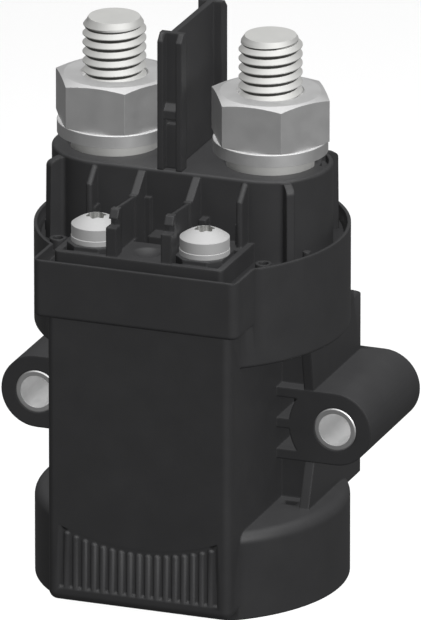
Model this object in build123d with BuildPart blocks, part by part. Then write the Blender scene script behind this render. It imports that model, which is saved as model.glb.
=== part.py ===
from build123d import *
import os
from math import cos, radians, sin, sqrt

# Power relay, in millimetres, +Z up.
# The origin is the middle of the base's underside, on the axis of the coil.
# The studs stand in a row along X, the coil terminals face -Y, and the flat
# mounting face looks towards +Y.

# Housing: round base
base_radius = 24.8
base_height = 14.2
base_top_fillet = 1.8
base_wall = 2.5
foot_height = 1.0
foot_front = 20.5
mounting_plane = 19.4

# Housing: front block with its grip panel
block_half_width = 15.2
block_behind_base = 0.6
block_corner = 1.2
block_bottom_fillet = 1.5
panel_half_width = 13.2
panel_depth = 0.5
panel_bottom = 3.7
panel_ramp = 0.5
panel_middle_top = 11.2
panel_side_top = 13.85
grip_count = 17
grip_pitch = 1.5
grip_radius = 0.55
grip_crown = 0.3
grip_top_gap = 0.7

# Housing: rear block, side walls and pockets
rear_inset = 3.4
rear_bottom = 12.7
rear_corner = 1.5
pocket_wall = 0.8
side_wall = 1.6
side_wall_foot = 5.3
side_wall_low_waist = 2.6
side_wall_high_waist = 3.1
side_wall_head = 4.7
drain_length = 2.4
drain_width = 1.8
drain_depth = 2.0
drain_ledge = 1.5

# Housing: cored cells that keep the walls of the moulding even
core_inner_x = 15.0
core_low = 15.0
core_high = 39.5
core_cells = 4
core_rib = 1.6
core_depth_end = 1.2
under_inner_x = 15.0
under_wall = 1.8
under_half_depth = 17.0
under_rib_pitch = 8.0
under_ribs = 3
under_depth = 11.5

# Housing: mounting lugs with steel bushes
lug_spacing = 50.0
lug_height = 27.3
lug_radius = 5.93
lug_front = 3.2
lug_web_radius = 7.7
lug_rib = 1.6
bush_radius = 3.5
bush_bore = 2.65
bush_chamfer = 0.2
bush_proud = 0.1

# Housing: upper ring and terminal box
ring_bottom = 41.5
ring_floor = 44.0
ring_top = 58.2
ring_wall = 1.15
ring_edge = 0.6
box_half_width = 17.0
box_overhang = 1.1
box_corner = 1.5
box_bottom = 48.4
box_floor = 1.6
box_wall = 1.1

# Coil chamber in the housing
chamber_half_width = 13.0
chamber_front_wall = 2.4
chamber_rear = 17.2
chamber_corner = 2.0

# Cap: dome over the contacts
cap_clearance = 0.2
dome_top = 69.3
dome_roof = 3.0
dome_radius = 10.2
dome_wall = 1.8
dome_edge = 0.45
dome_gap = 0.85
stud_inset = 9.8
rib_angle = 56.5
rib_width = 1.3
rib_reach = 2.7
rib_lean = 0.2
rib_root = 1.2
rib_top_drop = 0.25
rib_ramp_drop = 0.75
rib_crest = 0.9
rib_foot_fillet = 0.6
rib_edge = 0.25
flange_bottom = 52.6
flange_thickness = 1.8
sealant_top = 55.9
collar_groove = 0.45
collar_groove_depth = 0.6
end_slot_inner = 8.0
end_slot_outer = 9.1
end_slot_start = 2.6
end_slot_end = 39.0
end_slot_depth = 1.2

# Cap: posts in the trough
post_inset = 1.725
post_gap = 1.49
post_radius = 1.3
post_bore = 0.8
post_top = 57.5
pip_angle = 36.5
pip_gap = 0.85
pip_radius = 0.65
pip_top = 57.5

# Cap: block of the coil terminals
terminal_half_width = 14.0
terminal_setback = 1.8
terminal_top = 59.0
terminal_corner = 0.8
seat_top = 59.7
seat_floor = 57.2
seat_outer_x = 12.9
seat_half_depth = 4.5
seat_chamfer = 1.9
channel_half_width = 3.9
channel_rear = 15.6
channel_well = 56.6
dimple_radius = 2.4
dimple_setback = 4.3
dimple_depth = 0.7
shelf_half_width = 2.4
shelf_front = 13.4
shelf_top = 59.3

# Cap: walls beside the coil terminals
partition_x = 4.55
partition_wall = 1.25
partition_root = 2.5
partition_slope_end = 13.5
partition_thick_front = 14.4
partition_top = 66.0
partition_web = 0.5
partition_front_top = 66.3
hook_setback = 2.1
hook_width = 1.42
hook_length = 1.1
hook_slope = 0.8
hook_bottom = 64.9
catch_top = 63.7
catch_setback = 0.4
catch_depth = 1.8
catch_width = 1.7
side_wall_x = 12.5
side_wall_width = 1.05
side_wall_front = 12.8
side_wall_top = 66.4
side_wall_round = 0.45
tab_top = 62.5
tab_front = 12.0
tab_width = 1.2
tab_inner_x = 6.1
tab_outer_x = 12.2
guide_x = 3.4
guide_width = 1.0
guide_front = 10.8
guide_top = 64.7

# Coil terminals
coil_screw_spacing = 18.0
coil_screw_setback = 5.6
insert_radius = 2.8
insert_length = 5.6
coil_washer_radius = 4.1
coil_washer_thickness = 0.85
screw_head_radius = 4.0
screw_head_side = 1.8
screw_head_crown = 1.0
screw_recess_radius = 1.35
screw_lobe_radius = 0.45
screw_lobes = 6
screw_recess_depth = 1.9
screw_shank_radius = 1.95
screw_length = 6.0
lead_slot_half = 1.6
lead_slot_ahead = 2.5
lead_slot_behind = 1.6

# Studs, nuts and washers
stud_radius = 5.0
stud_root_radius = 4.7
thread_gap = 0.1
stud_top = 90.2
stud_chamfer = 0.8
collar_radius = 6.85
collar_top = 71.7
stud_washer_radius = 9.03
stud_washer_thickness = 1.7
washer_chamfer = 0.2
washer_clearance = 0.25
nut_flats = 17.0
nut_height = 7.9
nut_chamfer_radius = 7.9
nut_chamfer_rise = 1.0
nut_countersink = 5.7
stud_head_radius = 7.6
stud_head_height = 4.0
contact_pad_radius = 4.5

# Barrier between the studs
barrier_top = 91.5
barrier_depth = 10.15
barrier_half_width = 2.0
barrier_channel = 2.1
barrier_channel_depth = 1.25
barrier_channel_wall = 0.2
barrier_flange = 1.0
barrier_web = 1.0
barrier_chamfer = 1.2
barrier_foot = 2.2
barrier_foot_half = 7.6
barrier_slip = 0.1
nose_top = 80.0
nose_slope = 1.0
nose_depth = 1.05
nose_bottom = 77.6
nose_hole = 1.1
nose_hole_width = 1.8

# Magnet frame and coil
yoke_thickness = 3.0
yoke_half_width = 7.5
yoke_half_depth = 16.5
yoke_bend = 1.0
yoke_leg_top = 41.0
yoke_plate_thickness = 3.0
core_radius = 4.9
core_bottom = 24.0
core_spigot_radius = 3.6
core_head_radius = 4.3
core_head_height = 0.8
bobbin_bore = 5.3
bobbin_wall = 0.9
bobbin_flange_radius = 12.2
bobbin_flange = 1.3
bobbin_top_gap = 0.2
winding_radius = 11.4
stop_pad_thickness = 1.5
stop_pad_radius = 4.0
lead_width = 2.2
lead_thickness = 0.6
lead_bend = 1.5
lead_window_gap = 0.8
lead_eye_length = 2.1
lead_drop_offset = 0.3
lead_tail = 4.5

# Moving contact system
plunger_stroke = 2.0
core_residual_gap = 0.3
shaft_radius = 1.6
shaft_neck_radius = 1.3
shaft_groove_radius = 0.95
shaft_top = 57.7
shaft_tail = 1.1
running_clearance = 0.05
shaft_seat = 9.5
spring_seat_radius = 3.25
spring_seat_depth = 3.8
wire_sides = 4
return_wire = 0.25
return_coil_radius = 2.55
return_turns = 6
contact_gap = 1.5
contact_tip_radius = 3.2
contact_tip_thickness = 1.0
bridge_thickness = 2.2
bridge_overhang = 4.5
bridge_half_width = 4.5
carrier_flange_radius = 4.6
carrier_flange = 1.5
carrier_sleeve_radius = 2.4
sleeve_clearance = 0.08
contact_wire = 0.3
contact_coil_radius = 3.2
contact_turns = 3
contact_spring_length = 4.0
retainer_radius = 3.6
retainer_thickness = 0.6
clip_radius = 2.6
clip_mouth = 0.9
clip_thickness = 0.6
insulator_thickness = 2.0
insulator_hole = 4.9

# Places worked out from the sizes above
block_front = base_radius - block_behind_base
rear_half_width = base_radius - rear_inset
box_front = base_radius + box_overhang
chamber_front = block_front - chamber_front_wall
ring_inner = base_radius - ring_wall
dome_half_length = ring_inner - dome_gap
dome_end_x = dome_half_length - dome_radius
stud_x = dome_half_length - stud_inset
post_x = (terminal_half_width + ring_inner) / 2 - post_inset
post_y = sqrt((ring_inner - post_gap) ** 2 - post_x**2)
pip_x = dome_end_x + (dome_radius + pip_gap) * cos(radians(pip_angle))
pip_y = (dome_radius + pip_gap) * sin(radians(pip_angle))
terminal_front = box_front - terminal_setback
hook_front = terminal_front - hook_setback
catch_front = terminal_front - catch_setback
catch_rear = catch_front - catch_depth
dimple_y = terminal_front - dimple_setback
coil_screw_y = terminal_front - coil_screw_setback
lead_drop_y = coil_screw_y - lead_drop_offset
bridge_half_length = stud_x + bridge_overhang
box_inner_half = box_half_width - box_wall
box_inner_front = box_front - box_wall
inner_rear = mounting_plane - ring_wall
rear_slot_x = rear_half_width - side_wall
yoke_floor_top = base_wall + yoke_thickness
plate_top = yoke_leg_top + yoke_plate_thickness
cap_bottom = plate_top + insulator_thickness
flange_top = flange_bottom + flange_thickness
dome_ceiling = dome_top - dome_roof
rib_top = dome_top - rib_top_drop
head_bottom = dome_ceiling - stud_head_height
insert_bottom = seat_top - insert_length
plunger_bottom = yoke_floor_top + stop_pad_thickness
plunger_top = core_bottom - core_residual_gap - plunger_stroke
bobbin_top = yoke_leg_top - bobbin_top_gap
clip_bottom = shaft_top - shaft_tail - clip_thickness
bridge_top = clip_bottom - retainer_thickness
bridge_bottom = bridge_top - bridge_thickness
carrier_top = bridge_bottom - contact_spring_length
carrier_bottom = carrier_top - carrier_flange
moving_tip_top = bridge_top + contact_tip_thickness
fixed_tip_bottom = moving_tip_top + contact_gap
fixed_tip_top = fixed_tip_bottom + contact_tip_thickness
stud_washer_top = collar_top + stud_washer_thickness
nut_top = stud_washer_top + nut_height
nut_reach = nut_flats / sqrt(3) + washer_chamfer
coil_washer_top = seat_top + coil_washer_thickness
screw_head_top = coil_washer_top + screw_head_side
lug_x = lug_spacing / 2
coil_screw_x = coil_screw_spacing / 2
block_middle = block_front - block_corner - panel_depth
sides = {"left": -1, "right": 1}

os.makedirs("parts", exist_ok=True)


def save(built, name):
    """Label a finished piece and write it."""
    built.part.label = name
    export_step(built.part, f"parts/{name}.step")


def block(x_range, y_range, z_range, mode=Mode.ADD):
    """A box that fills three ranges, in the part being built."""
    with Locations((sum(x_range) / 2, sum(y_range) / 2, sum(z_range) / 2)):
        Box(
            abs(x_range[1] - x_range[0]),
            abs(y_range[1] - y_range[0]),
            abs(z_range[1] - z_range[0]),
            mode=mode,
        )


def turned(points, x=0, y=0, mode=Mode.ADD):
    """A turned form about a vertical axis at (x, y), from (radius, z) points."""
    with BuildSketch(Plane(origin=(x, y, 0), x_dir=(1, 0, 0), z_dir=(0, -1, 0))) as profile:
        with BuildLine():
            Polyline(*points, close=True)
        make_face()
    revolve(profile.sketch, axis=Axis((x, y, 0), (0, 0, 1)), mode=mode)


def side_profile(points, x_middle, width, mode=Mode.ADD):
    """A wall of one width along X, from its (y, z) outline."""
    with BuildSketch(Plane.YZ.offset(x_middle - width / 2)) as profile:
        with BuildLine():
            Polyline(*points, close=True)
        make_face()
    extrude(profile.sketch, amount=width, mode=mode)


def coil_spring(bottom, top, coil_radius, wire, turns):
    """A compression spring on the Z axis, its wire drawn with a few flats."""
    height = top - bottom - 2 * wire
    with BuildLine() as path:
        Helix(height / turns, height, coil_radius, center=(0, 0, bottom + wire))
    with BuildSketch(Plane(origin=path.line @ 0, z_dir=path.line % 0)) as section:
        RegularPolygon(wire, wire_sides)
    sweep(section.sketch, path=path.line)


# Outlines that several pieces share
with BuildSketch() as ring_space:
    Circle(ring_inner)
    with Locations((0, inner_rear + base_radius)):
        Rectangle(2 * base_radius, 2 * base_radius, mode=Mode.SUBTRACT)

with BuildSketch() as box_space:
    with Locations((0, -box_inner_front / 2)):
        Rectangle(2 * box_inner_half, box_inner_front)
    fillet(box_space.vertices().group_by(Axis.Y)[0], box_corner - box_wall)

with BuildSketch() as dome_slot:
    SlotOverall(2 * dome_half_length, 2 * dome_radius)

# The dome's outline with its four ribs, which stand askew at the ends of the long walls
with BuildSketch() as dome_outline:
    add(dome_slot.sketch)
    for side in sides.values():
        for end in (-1, 1):
            rib_turn = 90 * (1 - side) + side * end * rib_angle
            rib_middle = dome_radius + (rib_reach - rib_root) / 2
            with Locations(Location((side * dome_end_x, 0, 0), (0, 0, rib_turn))):
                with Locations((rib_middle, -side * end * rib_width / 2)):
                    Rectangle(rib_reach + rib_root, rib_width)
    rib_corners = [
        (corner, sqrt((abs(corner.X) - dome_end_x) ** 2 + corner.Y**2) - dome_radius)
        for corner in dome_outline.vertices()
        if abs(corner.X) > dome_end_x + rib_width
    ]
    fillet([corner for corner, height in rib_corners if height < rib_reach / 2], rib_foot_fillet)
    fillet([corner for corner, height in rib_corners if height > rib_reach / 2], rib_edge)

# Front block of the housing, with its grip panel
with BuildPart() as front_block:
    with BuildSketch(Plane.XY.offset(foot_height)) as block_outline:
        with Locations((0, -block_front / 2)):
            Rectangle(2 * block_half_width, block_front)
        fillet(block_outline.vertices().group_by(Axis.Y)[0], block_corner)
    extrude(amount=box_bottom + box_floor / 2 - foot_height)
    bottom_edges = front_block.edges().group_by(Axis.Z)[0]
    fillet(bottom_edges.filter_by_position(Axis.Y, -block_front, -1), block_bottom_fillet)

    # The panel's upper border is an arc that sags in the middle
    with BuildSketch(Plane.XZ.offset(block_front)):
        with BuildLine():
            Polyline(
                (-panel_half_width, panel_side_top),
                (-panel_half_width, panel_bottom),
                (panel_half_width, panel_bottom),
                (panel_half_width, panel_side_top),
            )
            ThreePointArc(
                (panel_half_width, panel_side_top),
                (0, panel_middle_top),
                (-panel_half_width, panel_side_top),
            )
        make_face()
    extrude(amount=-panel_depth, mode=Mode.SUBTRACT)

    # The panel's floor runs out to the face in a ramp at the bottom
    side_profile(
        (
            (-block_front, panel_bottom - panel_ramp),
            (-block_front, panel_bottom),
            (panel_depth - block_front, panel_bottom),
        ),
        0,
        2 * panel_half_width,
        Mode.SUBTRACT,
    )

    # Finger ribs: upright round bars, flush with the face, that end under the arc
    panel_sag = panel_side_top - panel_middle_top
    panel_arc = (panel_half_width**2 + panel_sag**2) / (2 * panel_sag)
    for number in range(grip_count):
        grip_x = (number - (grip_count - 1) / 2) * grip_pitch
        border = panel_middle_top + panel_arc - sqrt(panel_arc**2 - grip_x**2)
        grip_top = border - grip_top_gap
        turned(
            (
                (0, panel_bottom - panel_ramp),
                (grip_radius, panel_bottom - panel_ramp),
                (grip_radius, grip_top - grip_crown),
                (grip_radius - grip_crown, grip_top),
                (0, grip_top),
            ),
            grip_x,
            grip_radius - block_front,
        )

# Upper ring of the housing
with BuildPart() as upper_ring:
    with BuildSketch(Plane.XY.offset(ring_bottom)):
        Circle(base_radius)
    extrude(amount=ring_top - ring_bottom)
    fillet(upper_ring.edges().group_by(Axis.Z)[0], ring_edge)

# Box that frames the coil terminals at the front of the ring
with BuildPart() as terminal_box:
    with BuildSketch(Plane.XY.offset(box_bottom)) as box_outline:
        with Locations((0, -box_front / 2)):
            Rectangle(2 * box_half_width, box_front)
        fillet(box_outline.vertices().group_by(Axis.Y)[0], box_corner)
    extrude(amount=ring_top - box_bottom)
    fillet(terminal_box.edges().group_by(Axis.Z)[0], ring_edge)

# Housing: one moulding with the base, the front block, the lugs and the ring
with BuildPart() as housing:
    with BuildSketch(Plane.XY):
        Circle(base_radius)
    extrude(amount=base_height)
    fillet(housing.edges().group_by(Axis.Z)[-1], base_top_fillet)
    block((-base_radius, base_radius), (-base_radius, -foot_front), (0, foot_height), Mode.SUBTRACT)

    # Rear block
    with BuildSketch(Plane.XY.offset(rear_bottom)) as rear_block:
        with Locations((0, (mounting_plane - pocket_wall) / 2)):
            Rectangle(2 * rear_half_width, mounting_plane + pocket_wall)
        fillet(rear_block.vertices().group_by(Axis.Y)[-1], rear_corner)
    extrude(amount=ring_floor - rear_bottom)

    for side in sides.values():
        # Thin side wall, whose front edge leans back from the ring and the base to the lug
        lug_low = lug_height - lug_radius
        lug_high = lug_height + lug_radius
        side_profile(
            (
                (0, rear_bottom),
                (-side_wall_foot, rear_bottom),
                (-side_wall_foot, base_height),
                (-side_wall_low_waist, lug_low),
                (-side_wall_high_waist, lug_high),
                (-side_wall_head, ring_bottom + ring_edge),
                (0, ring_bottom + ring_edge),
            ),
            side * (rear_half_width - side_wall / 2),
            side_wall,
        )

        # Lug: a long barrel that runs to the mounting plane
        with BuildSketch(Plane.XZ.offset(-mounting_plane)):
            with Locations((side * lug_x, lug_height)):
                Circle(lug_radius)
            with Locations((side * (lug_x + rear_slot_x) / 2, lug_height)):
                Rectangle(lug_x - rear_slot_x, 2 * lug_radius)
        extrude(amount=mounting_plane + lug_front)

        # Web round the lug, and three ribs that tie it to the front block
        with BuildSketch(Plane.XZ):
            with Locations((side * lug_x, lug_height)):
                Circle(lug_web_radius)
            with Locations((side * (lug_x + block_half_width) / 2, lug_height)):
                Rectangle(lug_x - block_half_width, 2 * lug_radius, mode=Mode.INTERSECT)
            with Locations((side * (block_half_width + rear_slot_x) / 2, lug_height)):
                with GridLocations(1, lug_radius - lug_rib / 2, 1, 3):
                    Rectangle(rear_slot_x - block_half_width + 1, lug_rib)
        extrude(amount=lug_front)

    # The ring and the base stay behind the front block's face
    add(upper_ring.part)
    block(
        (-block_half_width, block_half_width),
        (-2 * base_radius, -block_middle),
        (0, box_bottom),
        Mode.SUBTRACT,
    )
    add(terminal_box.part)
    add(front_block.part)

    # The back of the ring and of the base is cut flat for mounting
    block(
        (-2 * base_radius, 2 * base_radius),
        (mounting_plane, 2 * base_radius),
        (0, dome_top),
        Mode.SUBTRACT,
    )

    # Hollows for the cap, the terminals and the coil
    with BuildSketch(Plane.XY.offset(ring_floor)):
        add(ring_space.sketch)
    extrude(amount=ring_top - ring_floor, mode=Mode.SUBTRACT)
    with BuildSketch(Plane.XY.offset(box_bottom + box_floor)):
        add(box_space.sketch)
    extrude(amount=ring_top - box_bottom - box_floor, mode=Mode.SUBTRACT)
    with BuildSketch(Plane.XY.offset(base_wall)):
        with Locations((0, (chamber_rear - chamber_front) / 2)):
            RectangleRounded(2 * chamber_half_width, chamber_rear + chamber_front, chamber_corner)
    extrude(amount=ring_floor - base_wall, mode=Mode.SUBTRACT)

    for side in sides.values():
        # Cored cells behind the side pocket, open at the mounting plane
        with BuildSketch(Plane.XZ.offset(-mounting_plane)):
            with Locations((side * (core_inner_x + rear_slot_x) / 2, (core_low + core_high) / 2)):
                Rectangle(rear_slot_x - core_inner_x, core_high - core_low)
                with GridLocations(1, (core_high - core_low) / core_cells, 1, core_cells - 1):
                    Rectangle(rear_slot_x - core_inner_x, core_rib, mode=Mode.SUBTRACT)
        extrude(amount=mounting_plane - core_depth_end, mode=Mode.SUBTRACT)

        # Cored cells under the base
        with BuildSketch(Plane.XY):
            Circle(base_radius - under_wall)
            with Locations((side * (under_inner_x + base_radius) / 2, 0)):
                Rectangle(base_radius - under_inner_x, 2 * under_half_depth, mode=Mode.INTERSECT)
            with Locations((side * (under_inner_x + base_radius) / 2, 0)):
                with GridLocations(1, under_rib_pitch, 1, under_ribs):
                    Rectangle(base_radius - under_inner_x, core_rib, mode=Mode.SUBTRACT)
        extrude(amount=under_depth, mode=Mode.SUBTRACT)

        # Bore of the lug
        with BuildSketch(Plane.XZ.offset(-mounting_plane)):
            with Locations((side * lug_x, lug_height)):
                Circle(bush_radius)
        extrude(amount=mounting_plane + lug_front, mode=Mode.SUBTRACT)

        # Drain slot at the foot of the pocket
        drain_x = side * (block_half_width + rear_slot_x) / 2
        drain_rear = -pocket_wall - drain_ledge
        block(
            (drain_x - drain_length / 2, drain_x + drain_length / 2),
            (drain_rear - drain_width, drain_rear),
            (base_height - drain_depth, base_height),
            Mode.SUBTRACT,
        )
save(housing, "housing")

# Steel bushes that line the lugs
for name, side in sides.items():
    with BuildPart() as bush:
        with BuildSketch(Plane.XZ.offset(-mounting_plane)):
            with Locations((side * lug_x, lug_height)):
                Circle(bush_radius)
                Circle(bush_bore, mode=Mode.SUBTRACT)
        extrude(amount=mounting_plane + lug_front + bush_proud)
        rim_edges = bush.edges().filter_by(GeomType.CIRCLE).sort_by(SortBy.RADIUS)[-2:]
        chamfer(rim_edges, bush_chamfer)
    save(bush, f"bush_{name}")

# Ribs at the ends of the dome, each leaning in a little and ramped down from the dome's top
with BuildPart() as dome_ribs:
    with BuildSketch(Plane.XY.offset(flange_bottom)):
        add(dome_outline.sketch)
    extrude(amount=dome_top - dome_edge - flange_bottom)
    with BuildPart(mode=Mode.PRIVATE) as rib_limit:
        for side in sides.values():
            with BuildSketch(Plane.XZ.offset(0)) as lean:
                with BuildLine():
                    Polyline(
                        (side * dome_end_x, flange_bottom),
                        (side * (dome_half_length + rib_reach), flange_bottom),
                        (side * (dome_half_length + rib_reach - rib_lean), rib_top - rib_ramp_drop),
                        (side * dome_half_length, rib_top),
                        (side * dome_end_x, rib_top),
                        close=True,
                    )
                make_face()
                fillet(lean.vertices().sort_by(Axis.X)[-2 if side > 0 else 1], rib_crest)
            revolve(lean.sketch, axis=Axis((side * dome_end_x, 0, 0), (0, 0, 1)))
    add(rib_limit.part, mode=Mode.INTERSECT)

# Cap: dome, ribs, sealing flange and the block of the coil terminals
with BuildPart() as cap:
    with BuildSketch(Plane.XY.offset(flange_bottom)):
        add(dome_slot.sketch)
    extrude(amount=dome_top - flange_bottom)
    fillet(cap.edges().group_by(Axis.Z)[-1], dome_edge)
    add(dome_ribs.part)

    # Skirt of the contact chamber, and the flange that closes the ring
    with BuildSketch(Plane.XY.offset(cap_bottom)):
        add(dome_slot.sketch)
    extrude(amount=flange_bottom - cap_bottom)
    with BuildSketch(Plane.XY.offset(flange_bottom)):
        add(ring_space.sketch)
        add(box_space.sketch)
        offset(amount=-cap_clearance, mode=Mode.REPLACE)
    extrude(amount=flange_thickness)

    # Block of the coil terminals, with an open well behind its middle channel
    with BuildSketch(Plane.XY.offset(flange_top)) as terminal_block:
        with Locations((0, -(terminal_front + dome_radius - dome_wall) / 2)):
            Rectangle(2 * terminal_half_width, terminal_front - dome_radius + dome_wall)
        fillet(terminal_block.vertices().group_by(Axis.Y)[0], terminal_corner)
    extrude(amount=terminal_top - flange_top)
    block(
        (-channel_half_width, channel_half_width),
        (-channel_rear, -dome_radius),
        (channel_well, terminal_top),
        Mode.SUBTRACT,
    )
    dimple_ball = (dimple_radius**2 + dimple_depth**2) / (2 * dimple_depth)
    with Locations((0, -dimple_y, terminal_top - dimple_depth + dimple_ball)):
        Sphere(dimple_ball, mode=Mode.SUBTRACT)
    block(
        (-shelf_half_width, shelf_half_width),
        (-shelf_front, -dome_radius),
        (channel_well, shelf_top),
    )

    for side in sides.values():
        # Recess with a raised seat for the coil screw
        block(
            (side * (partition_x + partition_wall / 2), side * seat_outer_x),
            (-coil_screw_y - seat_half_depth, seat_half_depth - coil_screw_y),
            (seat_floor, terminal_top),
            Mode.SUBTRACT,
        )
        with BuildSketch(Plane.XY.offset(seat_floor)) as seat:
            with Locations((side * coil_screw_x, -coil_screw_y)):
                Rectangle(2 * (seat_outer_x - coil_screw_x), 2 * seat_half_depth)
            chamfer(seat.vertices(), seat_chamfer)
        extrude(amount=seat_top - seat_floor)

        # Partition towards the middle: thick root, thin web, hooked front and a catch post
        wall_root = terminal_top - partition_root
        side_profile(
            (
                (-dome_radius + dome_wall, wall_root),
                (-dome_radius + dome_wall, dome_top - dome_edge),
                (-dome_radius, dome_top - dome_edge),
                (-partition_slope_end, partition_top),
                (-partition_thick_front, partition_top),
                (-partition_thick_front, wall_root),
            ),
            side * partition_x,
            partition_wall,
        )
        side_profile(
            (
                (-dome_radius, wall_root),
                (-dome_radius, partition_top - partition_web),
                (-partition_thick_front, partition_top - partition_web / 2),
                (-hook_front, partition_front_top),
                (-hook_front, wall_root),
            ),
            side * partition_x,
            partition_web,
        )
        side_profile(
            (
                (hook_length - hook_front, wall_root),
                (hook_length - hook_front, partition_front_top),
                (-hook_front, partition_front_top),
                (-hook_front - hook_slope, hook_bottom),
                (-catch_rear, hook_bottom),
                (-catch_rear, wall_root),
            ),
            side * partition_x,
            hook_width,
        )
        side_profile(
            (
                (-catch_rear, wall_root),
                (-catch_rear, catch_top),
                (-catch_front, catch_top),
                (-catch_front, wall_root),
            ),
            side * partition_x,
            catch_width,
        )

        # Short wall on the outer side of the terminal, with a rounded front
        with BuildPart(mode=Mode.PRIVATE) as outer_wall:
            side_profile(
                (
                    (-dome_radius + dome_wall, flange_top),
                    (-dome_radius + dome_wall, dome_top - dome_edge),
                    (-dome_radius, dome_top - dome_edge),
                    (-side_wall_front, side_wall_top),
                    (-side_wall_front, flange_top),
                ),
                side * side_wall_x,
                side_wall_width,
            )
            long_edges = outer_wall.edges().filter_by(Axis.X, reverse=True)
            slope_edges = long_edges.group_by(Axis.Y)[0:2]
            fillet(slope_edges[0] + slope_edges[1], side_wall_round)
        add(outer_wall.part)

        # Stops behind the terminal, and a guide rib beside the well
        for tab_x in (tab_inner_x, tab_outer_x):
            block(
                (side * (tab_x - tab_width / 2), side * (tab_x + tab_width / 2)),
                (-tab_front, -dome_radius + dome_wall / 2),
                (flange_top, tab_top),
            )
        block(
            (side * (guide_x - guide_width / 2), side * (guide_x + guide_width / 2)),
            (-guide_front, -dome_radius + dome_wall / 2),
            (flange_top, guide_top),
        )

        # Posts and pips in the sealing trough
        with Locations((side * post_x, -post_y, (flange_top + post_top) / 2)):
            Cylinder(post_radius, post_top - flange_top)
            Cylinder(post_bore, post_top - flange_top, mode=Mode.SUBTRACT)
        with Locations((side * pip_x, -pip_y, (flange_top + pip_top) / 2)):
            Cylinder(pip_radius, pip_top - flange_top)

    # Contact chamber
    with BuildSketch(Plane.XY.offset(cap_bottom)):
        SlotOverall(2 * (dome_half_length - dome_wall), 2 * (dome_radius - dome_wall))
    extrude(amount=dome_ceiling - cap_bottom, mode=Mode.SUBTRACT)

    for side in sides.values():
        # Hole for the stud's collar, with a narrow groove round it
        with Locations((side * stud_x, 0, dome_ceiling + dome_roof / 2)):
            Cylinder(collar_radius, dome_roof, mode=Mode.SUBTRACT)
        with Locations((side * stud_x, 0, dome_top - collar_groove_depth / 2)):
            Cylinder(collar_radius + collar_groove, collar_groove_depth, mode=Mode.SUBTRACT)

        # Curved slot at the end of the dome, round the stud
        with BuildSketch(Plane.XY.offset(dome_top)):
            with Locations((side * stud_x, 0)):
                Circle(end_slot_outer)
                Circle(end_slot_inner, mode=Mode.SUBTRACT)
            with BuildLine():
                far = 2 * end_slot_outer
                start_angle = radians(end_slot_start)
                end_angle = radians(end_slot_end)
                Polyline(
                    (side * stud_x, 0),
                    (side * (stud_x + far * cos(start_angle)), far * sin(start_angle)),
                    (side * (stud_x + far * cos(end_angle)), far * sin(end_angle)),
                    close=True,
                )
            make_face(mode=Mode.INTERSECT)
        extrude(amount=-end_slot_depth, mode=Mode.SUBTRACT)

        # Bore of the threaded insert, open below for the coil lead
        with Locations((side * coil_screw_x, -coil_screw_y, (insert_bottom + seat_top) / 2)):
            Cylinder(insert_radius, seat_top - insert_bottom, mode=Mode.SUBTRACT)
        block(
            (side * coil_screw_x - lead_slot_half, side * coil_screw_x + lead_slot_half),
            (-coil_screw_y - lead_slot_ahead, lead_slot_behind - coil_screw_y),
            (flange_bottom, insert_bottom),
            Mode.SUBTRACT,
        )

    # Slot in the roof that takes the barrier's foot
    block(
        (-barrier_web / 2 - barrier_slip, barrier_web / 2 + barrier_slip),
        (-barrier_foot_half - barrier_slip, barrier_foot_half + barrier_slip),
        (dome_top - barrier_foot - barrier_slip, dome_top),
        Mode.SUBTRACT,
    )
save(cap, "cap")

# Sealing compound, poured over the flange between the cap and the housing
with BuildPart() as sealant:
    with BuildSketch(Plane.XY.offset(flange_top)):
        add(ring_space.sketch)
        add(box_space.sketch)
        add(dome_outline.sketch, mode=Mode.SUBTRACT)
        with Locations((0, -(terminal_front + dome_radius - dome_wall) / 2)):
            Rectangle(2 * terminal_half_width, terminal_front - dome_radius + dome_wall, mode=Mode.SUBTRACT)
        for side in sides.values():
            with Locations((side * post_x, -post_y)):
                Circle(post_radius, mode=Mode.SUBTRACT)
            with Locations((side * pip_x, -pip_y)):
                Circle(pip_radius, mode=Mode.SUBTRACT)
    extrude(amount=sealant_top - flange_top)
save(sealant, "sealant")

# Insulating plate between the coil chamber and the contact chamber
with BuildPart() as insulator_plate:
    with BuildSketch(Plane.XY.offset(plate_top)):
        add(ring_space.sketch)
        offset(amount=-cap_clearance, mode=Mode.REPLACE)
        Circle(insulator_hole, mode=Mode.SUBTRACT)
        window_width = lead_width + 2 * lead_window_gap
        window_depth = lead_thickness + 2 * lead_window_gap
        with Locations((-coil_screw_x, -lead_drop_y), (coil_screw_x, -lead_drop_y)):
            Rectangle(window_width, window_depth, mode=Mode.SUBTRACT)
    extrude(amount=insulator_thickness)
save(insulator_plate, "insulator_plate")

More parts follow.
